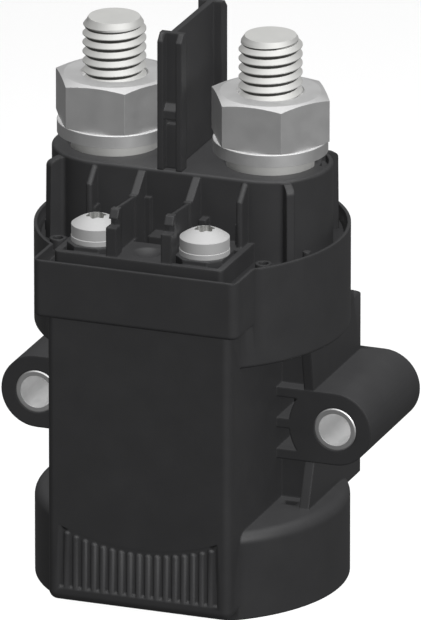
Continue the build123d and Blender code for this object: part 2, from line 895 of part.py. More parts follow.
# Barrier: an upright web with a channel-shaped flange at each end
with BuildPart() as barrier:
    with BuildSketch(Plane.XY.offset(dome_top)):
        Rectangle(barrier_web, 2 * barrier_depth - 2 * barrier_channel_depth)
        for end in (-1, 1):
            flange_depth = barrier_channel_depth + barrier_flange
            with Locations((0, end * (barrier_depth - flange_depth / 2))):
                Rectangle(2 * barrier_half_width, flange_depth)
            with Locations((0, end * (barrier_depth - barrier_channel_depth / 2))):
                Rectangle(barrier_channel, barrier_channel_depth, mode=Mode.SUBTRACT)
    extrude(amount=barrier_top - dome_top)
    block(
        (-barrier_web / 2, barrier_web / 2),
        (-barrier_foot_half, barrier_foot_half),
        (dome_top - barrier_foot, dome_top),
    )

    # Lead-in slopes at the top of both channels
    for end in (-1, 1):
        side_profile(
            (
                (end * (barrier_depth + barrier_slip), barrier_top + barrier_slip),
                (end * (barrier_depth + barrier_slip), barrier_top - barrier_chamfer - barrier_slip),
                (end * (barrier_depth - barrier_chamfer), barrier_top + barrier_slip),
            ),
            0,
            3 * barrier_half_width,
            Mode.SUBTRACT,
        )

    # Ramped nose in the front channel, with the hole that its mould core leaves below it
    channel_face = barrier_depth - barrier_channel_depth
    side_profile(
        (
            (-channel_face + barrier_flange / 2, nose_bottom),
            (-channel_face - nose_depth, nose_bottom),
            (-channel_face - nose_depth, nose_top - nose_slope),
            (-channel_face, nose_top),
            (-channel_face + barrier_flange / 2, nose_top),
        ),
        0,
        barrier_channel + 2 * barrier_channel_wall,
    )
    block(
        (-nose_hole_width / 2, nose_hole_width / 2),
        (-channel_face - barrier_channel_depth, -channel_face + barrier_flange),
        (nose_bottom - nose_hole, nose_bottom),
        Mode.SUBTRACT,
    )
save(barrier, "barrier")

# Studs, their contacts, washers and nuts
for name, side in sides.items():
    x = side * stud_x
    with BuildPart() as stud:
        turned(
            (
                (0, fixed_tip_top),
                (contact_pad_radius, fixed_tip_top),
                (contact_pad_radius, head_bottom),
                (stud_head_radius, head_bottom),
                (stud_head_radius, dome_ceiling),
                (collar_radius, dome_ceiling),
                (collar_radius, collar_top),
                (stud_root_radius, collar_top),
                (stud_root_radius, nut_top + thread_gap),
                (stud_radius, nut_top + thread_gap),
                (stud_radius, stud_top - stud_chamfer),
                (stud_radius - stud_chamfer, stud_top),
                (0, stud_top),
            ),
            x,
        )
    save(stud, f"stud_{name}")

    with BuildPart() as fixed_contact:
        with Locations((x, 0, (fixed_tip_bottom + fixed_tip_top) / 2)):
            Cylinder(contact_tip_radius, contact_tip_thickness)
    save(fixed_contact, f"fixed_contact_{name}")

    with BuildPart() as stud_washer:
        bore = stud_radius + washer_clearance
        turned(
            (
                (bore, collar_top),
                (stud_washer_radius, collar_top),
                (stud_washer_radius, stud_washer_top),
                (bore, stud_washer_top),
            ),
            x,
        )
        chamfer(stud_washer.edges().filter_by(GeomType.CIRCLE).sort_by(SortBy.RADIUS)[-2:], washer_chamfer)
    save(stud_washer, f"stud_washer_{name}")

    with BuildPart() as nut:
        with BuildSketch(Plane.XY.offset(stud_washer_top)):
            with Locations((x, 0)):
                RegularPolygon(nut_flats / 2, 6, major_radius=False)
        extrude(amount=nut_height)
        turned(
            (
                (stud_root_radius, stud_washer_top),
                (nut_reach, stud_washer_top),
                (nut_reach, nut_top - nut_chamfer_rise),
                (nut_chamfer_radius, nut_top),
                (nut_countersink, nut_top),
                (stud_root_radius, nut_top + stud_root_radius - nut_countersink),
            ),
            x,
            mode=Mode.INTERSECT,
        )
    save(nut, f"nut_{name}")

# Coil terminals: insert, screw, washer and the lead from the coil
for name, side in sides.items():
    x = side * coil_screw_x
    y = -coil_screw_y
    with BuildPart() as coil_insert:
        with Locations((x, y, (insert_bottom + seat_top) / 2)):
            Cylinder(insert_radius, insert_length)
            Cylinder(screw_shank_radius, insert_length, mode=Mode.SUBTRACT)
    save(coil_insert, f"coil_insert_{name}")

    with BuildPart() as coil_washer:
        with Locations((x, y, (seat_top + coil_washer_top) / 2)):
            Cylinder(coil_washer_radius, coil_washer_thickness)
            Cylinder(screw_shank_radius + washer_clearance, coil_washer_thickness, mode=Mode.SUBTRACT)
    save(coil_washer, f"coil_washer_{name}")

    with BuildPart() as coil_screw:
        with Locations((x, y, coil_washer_top + (screw_head_side - screw_length) / 2)):
            Cylinder(screw_shank_radius, screw_length + screw_head_side)
        with Locations((x, y, coil_washer_top + screw_head_side / 2)):
            Cylinder(screw_head_radius, screw_head_side)
        with BuildSketch(Plane(origin=(x, y, 0), x_dir=(1, 0, 0), z_dir=(0, -1, 0))):
            with BuildLine():
                ThreePointArc(
                    (-screw_head_radius, screw_head_top),
                    (0, screw_head_top + screw_head_crown),
                    (screw_head_radius, screw_head_top),
                )
                Line((screw_head_radius, screw_head_top), (-screw_head_radius, screw_head_top))
            make_face()
            with Locations((-screw_head_radius / 2, screw_head_top)):
                Rectangle(screw_head_radius, 2 * screw_head_crown, mode=Mode.SUBTRACT)
        revolve(axis=Axis((x, y, 0), (0, 0, 1)))
        crown_top = screw_head_top + screw_head_crown
        with BuildSketch(Plane.XY.offset(crown_top - screw_recess_depth)):
            with Locations((x, y)):
                Circle(screw_recess_radius)
                with PolarLocations(screw_recess_radius, screw_lobes):
                    Circle(screw_lobe_radius)
        extrude(amount=screw_recess_depth, mode=Mode.SUBTRACT)
    save(coil_screw, f"coil_screw_{name}")

    with BuildPart() as coil_lead:
        with BuildSketch(Plane.YZ.offset(x - lead_width / 2)):
            with BuildLine() as lead_route:
                FilletPolyline(
                    (-coil_screw_y - lead_eye_length, insert_bottom - lead_thickness / 2),
                    (-lead_drop_y, insert_bottom - lead_thickness / 2),
                    (-lead_drop_y, bobbin_top + lead_thickness / 2),
                    (-lead_tail, bobbin_top + lead_thickness / 2),
                    radius=lead_bend,
                )
                offset(lead_route.line, amount=lead_thickness / 2, side=Side.BOTH, mode=Mode.REPLACE)
            make_face()
        extrude(amount=lead_width)
    save(coil_lead, f"coil_lead_{name}")

# Magnet frame: a strip bent into a U, closed by a plate
with BuildPart() as yoke_frame:
    with BuildSketch(Plane.YZ.offset(-yoke_half_width)) as yoke_section:
        with Locations((0, (base_wall + yoke_leg_top) / 2)):
            Rectangle(2 * yoke_half_depth, yoke_leg_top - base_wall)
        fillet(yoke_section.vertices().group_by(Axis.Y)[0], yoke_bend + yoke_thickness)
        with Locations((0, (yoke_floor_top + yoke_leg_top) / 2)):
            Rectangle(
                2 * (yoke_half_depth - yoke_thickness), yoke_leg_top - yoke_floor_top, mode=Mode.SUBTRACT
            )
    extrude(amount=2 * yoke_half_width)
save(yoke_frame, "yoke_frame")

with BuildPart() as yoke_plate:
    block(
        (-yoke_half_width, yoke_half_width),
        (-yoke_half_depth, yoke_half_depth),
        (yoke_leg_top, plate_top),
    )
    with Locations((0, 0, (yoke_leg_top + plate_top) / 2)):
        Cylinder(core_spigot_radius, yoke_plate_thickness, mode=Mode.SUBTRACT)
save(yoke_plate, "yoke_plate")

# Fixed core, riveted into the plate and bored for the shaft
shaft_bore = shaft_radius + running_clearance
with BuildPart() as fixed_core:
    turned(
        (
            (spring_seat_radius, core_bottom),
            (core_radius, core_bottom),
            (core_radius, yoke_leg_top),
            (core_spigot_radius, yoke_leg_top),
            (core_spigot_radius, plate_top),
            (core_head_radius, plate_top),
            (core_head_radius, plate_top + core_head_height),
            (shaft_bore, plate_top + core_head_height),
            (shaft_bore, core_bottom + spring_seat_depth),
            (spring_seat_radius, core_bottom + spring_seat_depth),
        )
    )
save(fixed_core, "fixed_core")

# Bobbin and its winding
bobbin_tube = bobbin_bore + bobbin_wall
with BuildPart() as bobbin:
    turned(
        (
            (bobbin_bore, yoke_floor_top),
            (bobbin_flange_radius, yoke_floor_top),
            (bobbin_flange_radius, yoke_floor_top + bobbin_flange),
            (bobbin_tube, yoke_floor_top + bobbin_flange),
            (bobbin_tube, bobbin_top - bobbin_flange),
            (bobbin_flange_radius, bobbin_top - bobbin_flange),
            (bobbin_flange_radius, bobbin_top),
            (bobbin_bore, bobbin_top),
        )
    )
save(bobbin, "bobbin")

with BuildPart() as coil_winding:
    turned(
        (
            (bobbin_tube, yoke_floor_top + bobbin_flange),
            (winding_radius, yoke_floor_top + bobbin_flange),
            (winding_radius, bobbin_top - bobbin_flange),
            (bobbin_tube, bobbin_top - bobbin_flange),
        )
    )
save(coil_winding, "coil_winding")

# Rubber pad that the plunger rests on
with BuildPart() as stop_pad:
    with Locations((0, 0, (yoke_floor_top + plunger_bottom) / 2)):
        Cylinder(stop_pad_radius, stop_pad_thickness)
save(stop_pad, "stop_pad")

# Plunger with its shaft
with BuildPart() as plunger:
    turned(
        (
            (0, plunger_bottom),
            (core_radius, plunger_bottom),
            (core_radius, plunger_top),
            (spring_seat_radius, plunger_top),
            (spring_seat_radius, plunger_top - spring_seat_depth),
            (shaft_radius, plunger_top - spring_seat_depth),
            (shaft_radius, shaft_seat),
            (0, shaft_seat),
        )
    )
save(plunger, "plunger")

with BuildPart() as shaft:
    turned(
        (
            (0, shaft_seat),
            (shaft_radius, shaft_seat),
            (shaft_radius, carrier_bottom),
            (shaft_neck_radius, carrier_bottom),
            (shaft_neck_radius, clip_bottom),
            (shaft_groove_radius, clip_bottom),
            (shaft_groove_radius, clip_bottom + clip_thickness),
            (shaft_neck_radius, clip_bottom + clip_thickness),
            (shaft_neck_radius, shaft_top),
            (0, shaft_top),
        )
    )
save(shaft, "shaft")

with BuildPart() as return_spring:
    coil_spring(
        plunger_top - spring_seat_depth,
        core_bottom + spring_seat_depth,
        return_coil_radius,
        return_wire,
        return_turns,
    )
save(return_spring, "return_spring")

# Carrier: an insulating sleeve on the shaft that bears the contact spring
with BuildPart() as carrier:
    turned(
        (
            (shaft_neck_radius, carrier_bottom),
            (carrier_flange_radius, carrier_bottom),
            (carrier_flange_radius, carrier_top),
            (carrier_sleeve_radius, carrier_top),
            (carrier_sleeve_radius, bridge_top),
            (shaft_neck_radius, bridge_top),
        )
    )
save(carrier, "carrier")

with BuildPart() as contact_spring:
    coil_spring(carrier_top, bridge_bottom, contact_coil_radius, contact_wire, contact_turns)
save(contact_spring, "contact_spring")

# Contact bridge with its two tips
with BuildPart() as contact_bridge:
    with BuildSketch(Plane.XY.offset(bridge_bottom)):
        SlotOverall(2 * bridge_half_length, 2 * bridge_half_width)
        Circle(carrier_sleeve_radius + sleeve_clearance, mode=Mode.SUBTRACT)
    extrude(amount=bridge_thickness)
save(contact_bridge, "contact_bridge")

for name, side in sides.items():
    with BuildPart() as moving_contact:
        with Locations((side * stud_x, 0, (bridge_top + moving_tip_top) / 2)):
            Cylinder(contact_tip_radius, contact_tip_thickness)
    save(moving_contact, f"moving_contact_{name}")

# Retaining washer and clip at the top of the shaft
with BuildPart() as retaining_washer:
    with Locations((0, 0, (bridge_top + clip_bottom) / 2)):
        Cylinder(retainer_radius, retainer_thickness)
        Cylinder(shaft_neck_radius, retainer_thickness, mode=Mode.SUBTRACT)
save(retaining_washer, "retaining_washer")

with BuildPart() as retaining_clip:
    with BuildSketch(Plane.XY.offset(clip_bottom)):
        Circle(clip_radius)
        Circle(shaft_groove_radius, mode=Mode.SUBTRACT)
        with Locations((0, clip_radius / 2)):
            Rectangle(2 * shaft_groove_radius * clip_mouth, clip_radius, mode=Mode.SUBTRACT)
    extrude(amount=clip_thickness)
save(retaining_clip, "retaining_clip")
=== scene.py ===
from math import acos, asin, cos, radians, sin, tau

import bmesh
import bpy
from mathutils import Matrix, Vector


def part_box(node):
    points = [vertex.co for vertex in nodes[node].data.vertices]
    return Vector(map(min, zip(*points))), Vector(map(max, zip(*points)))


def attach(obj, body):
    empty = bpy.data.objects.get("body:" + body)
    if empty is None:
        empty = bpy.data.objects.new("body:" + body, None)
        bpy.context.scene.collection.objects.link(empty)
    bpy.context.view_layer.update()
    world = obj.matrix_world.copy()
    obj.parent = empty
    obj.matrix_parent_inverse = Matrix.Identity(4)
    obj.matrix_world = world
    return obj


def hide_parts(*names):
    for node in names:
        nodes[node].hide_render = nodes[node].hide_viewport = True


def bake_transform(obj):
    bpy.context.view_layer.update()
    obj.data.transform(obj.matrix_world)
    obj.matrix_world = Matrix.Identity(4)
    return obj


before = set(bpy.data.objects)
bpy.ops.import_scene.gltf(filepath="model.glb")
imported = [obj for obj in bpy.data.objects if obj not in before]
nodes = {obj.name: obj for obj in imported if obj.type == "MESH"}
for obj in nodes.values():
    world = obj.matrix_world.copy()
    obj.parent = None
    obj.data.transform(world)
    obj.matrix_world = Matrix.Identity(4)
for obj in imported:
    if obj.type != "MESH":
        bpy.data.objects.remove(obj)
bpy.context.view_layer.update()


# Camera
# The photograph is a long-lens view from the front, turned to the right and looking down.
# Its scale and the place of the base's centre in it were measured on the photograph.
def new_object(name, data):
    """An object in the scene, from its mesh, lamp or camera data."""
    made = bpy.data.objects.new(name, data)
    bpy.context.scene.collection.objects.link(made)
    return made


turn = radians(20.6)
tilt = radians(19.53)
pixels_per_mm = 6.388
picture = (421, 620)
base_centre_pixel = (192.45, 568.63)
lens_mm = 1000
sensor_mm = 36
middle_depth_mm = 15

right = Vector((cos(turn), sin(turn), 0))
back = Vector((sin(turn) * cos(tilt), -cos(turn) * cos(tilt), sin(tilt)))
up = back.cross(right)
across_mm = (picture[0] / 2 - base_centre_pixel[0]) / pixels_per_mm
above_mm = (base_centre_pixel[1] - picture[1] / 2) / pixels_per_mm
distance_mm = picture[1] / pixels_per_mm * lens_mm / sensor_mm
aim = (right * across_mm + up * above_mm + back * middle_depth_mm) / 1000

camera_data = bpy.data.cameras.new("camera")
camera_data.lens = lens_mm
camera_data.sensor_width = sensor_mm
camera_data.dof.use_dof = False
camera_data.clip_start = 0.1
camera_data.clip_end = 20
camera = new_object("camera", camera_data)
camera.location = aim + back * distance_mm / 1000
camera.rotation_mode = "QUATERNION"
camera.rotation_quaternion = (-back).to_track_quat("-Z", "Y")
bpy.context.scene.camera = camera


# Studio
# A plain white floor under one broad soft light, with a key light from the front right, a weak one from
# the front left and a dim, even surround. The lights cast no shadows, so the recesses stay nearly as light
# as the open faces.
def tone(code):
    """A colour written as sRGB hex, as linear values with full alpha."""
    parts = [int(code[at:at + 2], 16) / 255 for at in (0, 2, 4)]
    linear = [
        part / 12.92 if part <= 0.04045 else ((part + 0.055) / 1.055) ** 2.4
        for part in parts
    ]
    return linear + [1]


def add_node(tree, kind, links=None, **settings):
    """One node with its settings; links gives each input a value or another node's output."""
    node = tree.nodes.new(kind)
    for name, value in settings.items():
        setattr(node, name, value)
    for socket, value in (links or {}).items():
        if isinstance(value, bpy.types.NodeSocket):
            tree.links.new(value, node.inputs[socket])
        else:
            node.inputs[socket].default_value = value
    return node


def new_material(name):
    """An empty material: its node tree and its output node."""
    material = bpy.data.materials.new(name)
    material.use_nodes = True
    material.node_tree.nodes.clear()
    return material, add_node(material.node_tree, "ShaderNodeOutputMaterial")


paper, output = new_material("matt_paper")
surface = add_node(paper.node_tree, "ShaderNodeBsdfDiffuse", {"Color": tone("FAFAFA")})
paper.node_tree.links.new(surface.outputs[0], output.inputs["Surface"])
floor_reach = 6
floor_mesh = bpy.data.meshes.new("floor")
corners = [(x * floor_reach, y * floor_reach, 0) for x, y in ((-1, -1), (1, -1), (1, 1), (-1, 1))]
floor_mesh.from_pydata(corners, [], [(0, 1, 2, 3)])
floor_mesh.materials.append(paper)
floor_sheet = new_object("floor", floor_mesh)
floor_sheet.visible_diffuse = False
floor_sheet.visible_glossy = False

world = bpy.data.worlds.new("surround")
bpy.context.scene.world = world
world.use_nodes = True
world.node_tree.nodes.clear()
glow = add_node(
    world.node_tree, "ShaderNodeBackground", {"Color": tone("FFFFFF"), "Strength": 0.12}
)
add_node(world.node_tree, "ShaderNodeOutputWorld", {"Surface": glow.outputs[0]})
bpy.context.scene.view_settings.view_transform = "Standard"
relay_middle = Vector((0, 0, 0.045))


def soft_light(name, place, size, power):
    """A square soft light, without shadows, that faces the middle of the relay."""
    lamp = bpy.data.lights.new(name, "AREA")
    lamp.size = size
    lamp.energy = power
    lamp.use_shadow = False
    holder = new_object(name, lamp)
    holder.location = place
    holder.rotation_mode = "QUATERNION"
    holder.rotation_quaternion = (relay_middle - Vector(place)).to_track_quat("-Z", "Y")


soft_light("overhead", place=(0.0, 0.0, 1.3), size=1.2, power=14.5)
soft_light("key", place=(0.7, -0.585, 0.63), size=0.6, power=9.2)
soft_light("fill", place=(-0.55, -1.1, 0.6), size=0.9, power=0.9)


# Housing
# One injection moulding in black glass-filled polyamide, with the base, the grip panel, the two lugs and
# the ring that takes the cap. The tool's spark-eroded finish leaves a fine, even grain that scatters the
# light. The ring thins to a rim above the resin, pockets part the lugs' ribs, and the rear corners end low.
mottle_mm = 6
mottle_dark = 0.87
mottle_light = 1.15
mottle_gloss = 0.05
mottle_dull = 0.06


def moulded_plastic(name, colour, roughness, grain_mm, depth_mm, edge_mm=0.22):
    """Moulded plastic: faint mottling of the colour, a fine grain, and edges slightly rounded."""
    material, output = new_material(name)
    tree = material.node_tree
    place = add_node(tree, "ShaderNodeTexCoord").outputs["Object"]
    mottle = add_node(
        tree,
        "ShaderNodeTexNoise",
        {"Vector": place, "Scale": 1000 / mottle_mm, "Detail": 3, "Roughness": 0.6},
    )
    lighter = [part * mottle_light for part in colour[:3]] + [1]
    darker = [part * mottle_dark for part in colour[:3]] + [1]
    shade = add_node(
        tree,
        "ShaderNodeMix",
        {"Factor": mottle.outputs["Fac"], 6: darker, 7: lighter},
        data_type="RGBA",
    )
    grain = add_node(
        tree,
        "ShaderNodeTexNoise",
        {"Vector": place, "Scale": 1000 / grain_mm, "Detail": 2, "Roughness": 0.5},
    )
    edge = add_node(tree, "ShaderNodeBevel", {"Radius": edge_mm / 1000}, samples=4)
    bump = add_node(
        tree,
        "ShaderNodeBump",
        {
            "Height": grain.outputs["Fac"],
            "Normal": edge.outputs[0],
            "Distance": depth_mm / 1000,
            "Strength": 0.6,
        },
    )
    gloss = add_node(
        tree,
        "ShaderNodeMapRange",
        {
            "Value": mottle.outputs["Fac"],
            "To Min": roughness - mottle_gloss,
            "To Max": roughness + mottle_dull,
        },
    )
    body = add_node(
        tree,
        "ShaderNodeBsdfPrincipled",
        {
            "Base Color": shade.outputs[2],
            "Roughness": gloss.outputs[0],
            "Normal": bump.outputs[0],
            "IOR": 1.5,
            "Specular IOR Level": 0.35,
        },
    )
    tree.links.new(body.outputs[0], output.inputs["Surface"])
    return material


def finish_node(name, material):
    """Gives a solid of the frame its finish."""
    nodes[name].data.materials.clear()
    nodes[name].data.materials.append(material)


housing_black = moulded_plastic(
    "polyamide_spark_eroded", tone("353536"), roughness=0.5, grain_mm=0.18, depth_mm=0.02, edge_mm=0.4
)

# The finer forms, in mm. They are cut into a copy of the solid, because the solid keeps simpler ones.
mm = 0.001
smallest_step = 0.002
moulded_sharp_degrees = 18
tool_sharp_degrees = 30
face_weight = 100
cut_reach = 30
cut_height = 2
cut_over = 1
rim_top = 57.75
rim_wall = 0.55
resin_top = 55.9
ring_radius = 24.8
ring_rear = 19.4
ring_columns = 192
box_half_width = 17.0
box_front = -25.9
box_rear = -15.0
cell_low = (14.9, 1.1, 21.4)
cell_high = (19.5, 8.6, 33.1)
pocket_inner = 15.22
pocket_outer = 17.3
pocket_front = -0.85
pocket_rear = 7.5
pocket_gaps = ((23.0, 26.48), (28.12, 31.6))
corner_top = 42.3
corner_height = 3.0
corner_outer = 22.5
corner_rear = 20.5
corner_arc_x = 17.0
corner_arc_y = 15.0
corner_columns = 12
ring_gap = 0.05


def shaded(mesh, sharp_degrees):
    """Smooth shading with sharp edges where faces meet at more than the angle."""
    mesh.shade_smooth()
    mesh.set_sharp_from_angle(angle=radians(sharp_degrees))
    return mesh


def finished_mesh(shape, name, sharp_degrees):
    """Ends a piece's mesh code: merged points, faces outwards, and shading."""
    bmesh.ops.remove_doubles(shape, verts=shape.verts, dist=smallest_step * mm)
    bmesh.ops.dissolve_degenerate(shape, edges=shape.edges, dist=smallest_step * mm)
    bmesh.ops.recalc_face_normals(shape, faces=shape.faces)
    mesh = bpy.data.meshes.new(name)
    shape.to_mesh(mesh)
    shape.free()
    return shaded(mesh, sharp_degrees)


def placed(name, mesh, body, slot, *old_nodes):
    """A new piece in the scene, on its body, that stands for solids of the frame."""
    piece = new_object(name, mesh)
    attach(piece, body)
    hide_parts(*old_nodes)
    return piece


def block(low, high):
    """Outline and heights of a block, from two opposite corners in mm."""
    outline = [(low[0], low[1]), (high[0], low[1]), (high[0], high[1]), (low[0], high[1])]
    return outline, low[2], high[2]


def prism_mesh(name, outline, low, high):
    """The mesh of an upright prism, from its outline and heights in mm."""
    shape = bmesh.new()
    lower = [shape.verts.new((x * mm, y * mm, low * mm)) for x, y in outline]
    upper = [shape.verts.new((x * mm, y * mm, high * mm)) for x, y in outline]
    shape.faces.new(reversed(lower))
    shape.faces.new(upper)
    for number in range(len(outline)):
        shape.faces.new((lower[number - 1], lower[number], upper[number], upper[number - 1]))
    return finished_mesh(shape, name, tool_sharp_degrees)


def carved(name, source, steps):
    """The mesh of a solid's copy, with prisms added to it or cut out of it in turn."""
    shape = bmesh.new()
    shape.from_mesh(source.data)
    body = new_object(name, finished_mesh(shape, name, moulded_sharp_degrees))
    tools = []
    for operation, prism in steps:
        tool = new_object("tool", prism_mesh("tool", *prism))
        tools.append(tool)
        modifier = body.modifiers.new("carve", "BOOLEAN")
        modifier.operation = operation
        modifier.solver = "EXACT"
        modifier.object = tool
    graph = bpy.context.evaluated_depsgraph_get()
    mesh = bpy.data.meshes.new_from_object(body.evaluated_get(graph))
    for helper in [body] + tools:
        bpy.data.objects.remove(helper)
    mesh.materials.clear()
    shape = bmesh.new()
    shape.from_mesh(mesh)
    bmesh.ops.triangulate(shape, faces=shape.faces[:])
    return finished_mesh(shape, name, moulded_sharp_degrees)


def place_moulding(name, mesh, slot, node):
    """A moulding that rides on the relay; its large faces stay flat beside small roundings."""
    mesh.materials.append(housing_black)
    piece = placed(name, mesh, "relay", slot, node)
    weighting = piece.modifiers.new("flat_faces", "WEIGHTED_NORMAL")
    weighting.mode = "FACE_AREA"
    weighting.weight = face_weight
    weighting.keep_sharp = True


def ring_bore():
    """Outline of the ring's inside above the resin, round with a flat at the rear."""
    radius = ring_radius - rim_wall
    turns = [tau * column / ring_columns for column in range(ring_columns)]
    return [(radius * cos(turn), min(radius * sin(turn), ring_rear - rim_wall)) for turn in turns]


def rear_corner(side):
    """Outline of the corner between the ring and the rear plane, on one side."""
    radius = ring_radius + ring_gap
    first = asin(corner_arc_y / radius)
    step = (acos(corner_arc_x / radius) - first) / corner_columns
    arc = [first + step * column for column in range(corner_columns + 1)]
    outline = [(corner_outer, corner_arc_y)]
    outline += [(radius * cos(turn), radius * sin(turn)) for turn in arc]
    outline += [(corner_arc_x, corner_rear), (corner_outer, corner_rear)]
    return [(side * x, y) for x, y in outline]


steps = []
for side in (1, -1):
    cell = block((side * cell_low[0], *cell_low[1:]), (side * cell_high[0], *cell_high[1:]))
    steps.append(("UNION", cell))
    for low, high in pocket_gaps:
        gap_low = (side * pocket_inner, pocket_front, low)
        gap_high = (side * pocket_outer, pocket_rear, high)
        steps.append(("DIFFERENCE", block(gap_low, gap_high)))
    steps.append(("DIFFERENCE", (rear_corner(side), corner_top, corner_top + corner_height)))
over_rim = rim_top + cut_over
box_inner = box_half_width - rim_wall
box_low = (-box_inner, box_front + rim_wall, resin_top)
rim_low = (-cut_reach, -cut_reach, rim_top)
steps += [
    ("DIFFERENCE", block(rim_low, (cut_reach, cut_reach, rim_top + cut_height))),
    ("DIFFERENCE", (ring_bore(), resin_top, over_rim)),
    ("DIFFERENCE", block(box_low, (box_inner, box_rear, over_rim))),
]
moulded_housing = carved("moulded_housing", nodes["housing"], steps)
place_moulding("moulded_housing", moulded_housing, "housing_plastic", "housing")


# Lug bushes
# Two turned steel tubes, moulded into the lugs, that take the load of the mounting screws. Their bright
# zinc plating is satin: a crystal grain, drawn coarser than it is, breaks up the reflection, and handling
# has clouded it.
cloud_mm = 4
cloud_dark = 0.94
cloud_light = 1.05
cloud_gloss = 0.06


def plated_metal(name, colour, roughness, grain_mm, depth_mm, edge_mm=0.18):
    """Satin metal: a grain drawn coarse enough to show, faint clouds, and edges slightly rounded."""
    material, output = new_material(name)
    tree = material.node_tree
    place = add_node(tree, "ShaderNodeTexCoord").outputs["Object"]
    cloud = add_node(
        tree,
        "ShaderNodeTexNoise",
        {"Vector": place, "Scale": 1000 / cloud_mm, "Detail": 4, "Roughness": 0.6},
    )
    grain = add_node(
        tree,
        "ShaderNodeTexNoise",
        {"Vector": place, "Scale": 1000 / grain_mm, "Detail": 2, "Roughness": 0.5},
    )
    lighter = [min(1, part * cloud_light) for part in colour[:3]] + [1]
    darker = [part * cloud_dark for part in colour[:3]] + [1]
    shade = add_node(
        tree,
        "ShaderNodeMix",
        {"Factor": cloud.outputs["Fac"], 6: darker, 7: lighter},
        data_type="RGBA",
    )
    gloss = add_node(
        tree,
        "ShaderNodeMapRange",
        {
            "Value": cloud.outputs["Fac"],
            "To Min": roughness - cloud_gloss,
            "To Max": roughness + cloud_gloss,
        },
    )
    edge = add_node(tree, "ShaderNodeBevel", {"Radius": edge_mm / 1000}, samples=4)
    bump = add_node(
        tree,
        "ShaderNodeBump",
        {
            "Height": grain.outputs["Fac"],
            "Normal": edge.outputs[0],
            "Distance": depth_mm / 1000,
            "Strength": 0.5,
        },
    )
    body = add_node(
        tree,
        "ShaderNodeBsdfPrincipled",
        {
            "Base Color": shade.outputs[2],
            "Metallic": 1.0,
            "Roughness": gloss.outputs[0],
            "Normal": bump.outputs[0],
        },
    )
    tree.links.new(body.outputs[0], output.inputs["Surface"])
    return material


bush_zinc = plated_metal(
    "bright_zinc_plating", tone("DADADA"), roughness=0.52, grain_mm=0.12, depth_mm=0.006, edge_mm=0.1
)
finish_node("bush_left", bush_zinc)
finish_node("bush_right", bush_zinc)


# Cap
# A second moulding in the same black polyamide: the dome over the contacts, the flange that closes the
# ring, and the block with the seats and walls of the coil terminals. It was moulded in one shot and is
# held in the ring by the sealing resin.
finish_node("cap", housing_black)


# Sealing resin
# Black two-part resin, poured into the trough between the cap and the ring. It levelled itself, so it
# is smooth and a little glossier than the mouldings round it.
sealing_resin = moulded_plastic(
    "poured_resin", tone("2B2B2C"), roughness=0.38, grain_mm=0.9, depth_mm=0.02, edge_mm=0.1
)
finish_node("sealant", sealing_resin)


# Barrier
# A separate black moulding between the studs, pushed into a slot in the dome. Its two channelled ends
# keep the cable lugs apart, and a ramped nose in the front channel catches a terminal cover; a thin wall
# closes the channel behind the nose.
nose_wall_low = (-1.0, -7.95, 75.9)
nose_wall_high = (1.0, -7.4, 78.3)
nose_wall = ("UNION", block(nose_wall_low, nose_wall_high))
moulded_barrier = carved("moulded_barrier", nodes["barrier"], [nose_wall])
place_moulding("moulded_barrier", moulded_barrier, "barrier_plastic", "barrier")


# Insulating plate
# A sheet of phenolic paper laminate, punched out, that parts the coil's chamber from the contacts. The
# punched sheet is brown, hard and semi-matt, with the paper's fibres faintly visible.
laminate = moulded_plastic(
    "phenolic_laminate", tone("6B4A2C"), roughness=0.45, grain_mm=0.5, depth_mm=0.03
)
finish_node("insulator_plate", laminate)


# Studs
# The two main terminals, turned and rolled from copper alloy and plated with tin: a head inside the dome
# that carries the fixed contact, a collar that fills the hole in the roof, and an M10 thread with a
# coned end. The plating is pale and satin. The flanks that look down get painted shade, a dark colour
# that stands in for the shadow the lamps don't cast.
thread_pitch = 1.5
thread_depth = 0.68
crest_flat = 0.12
flank_run = 0.66
thread_runout = 1.0
first_crest = {"left": 0.17, "right": 0.59}
stud_radius = 5.0
stud_end_radius = 4.05
stud_end_slope = 0.65
stud_top_gap = 0.2
collar_radius = 6.85
head_radius = 7.6
head_height = 4.0
roof_thickness = 3.0
pad_radius = 4.5
stud_columns = 72
stud_sharp_degrees = 35
rows_per_turn = 6
turns_below = 2
spare_turns = 4
washer_thickness = 2.0
nut_drop = 0.2
nut_height = 7.65


def hoop(shape, centre, points):
    """A ring of vertices round an upright axis, from each column's radius and height in mm."""
    step = tau / len(points)
    return [
        shape.verts.new(
            (
                (centre + radius * cos(step * column)) * mm,
                radius * sin(step * column) * mm,
                height * mm,
            )
        )
        for column, (radius, height) in enumerate(points)
    ]


def thread_point(row, column, low, high, lead):
    """Radius and height of one point of the thread, on a grid that is sheared along the helix."""
    whole_turns, step = divmod(row, rows_per_turn)
    root_radius = stud_radius - thread_depth
    mid_radius = stud_radius - thread_depth / 2
    rises = (
        0,
        crest_flat,
        crest_flat + flank_run / 2,
        crest_flat + flank_run,
        thread_pitch - flank_run,
        thread_pitch - flank_run / 2,
    )
    radii = (stud_radius, stud_radius, mid_radius, root_radius, root_radius, mid_radius)
    turns = whole_turns - turns_below + column / stud_columns
    height = low + lead + turns * thread_pitch + rises[step]
    height = min(max(height, low), high)
    entry = min((height - low) / thread_runout, 1)
    radius = root_radius + (radii[step] - root_radius) * entry
    return min(radius, stud_end_radius + (high - height) * stud_end_slope), height


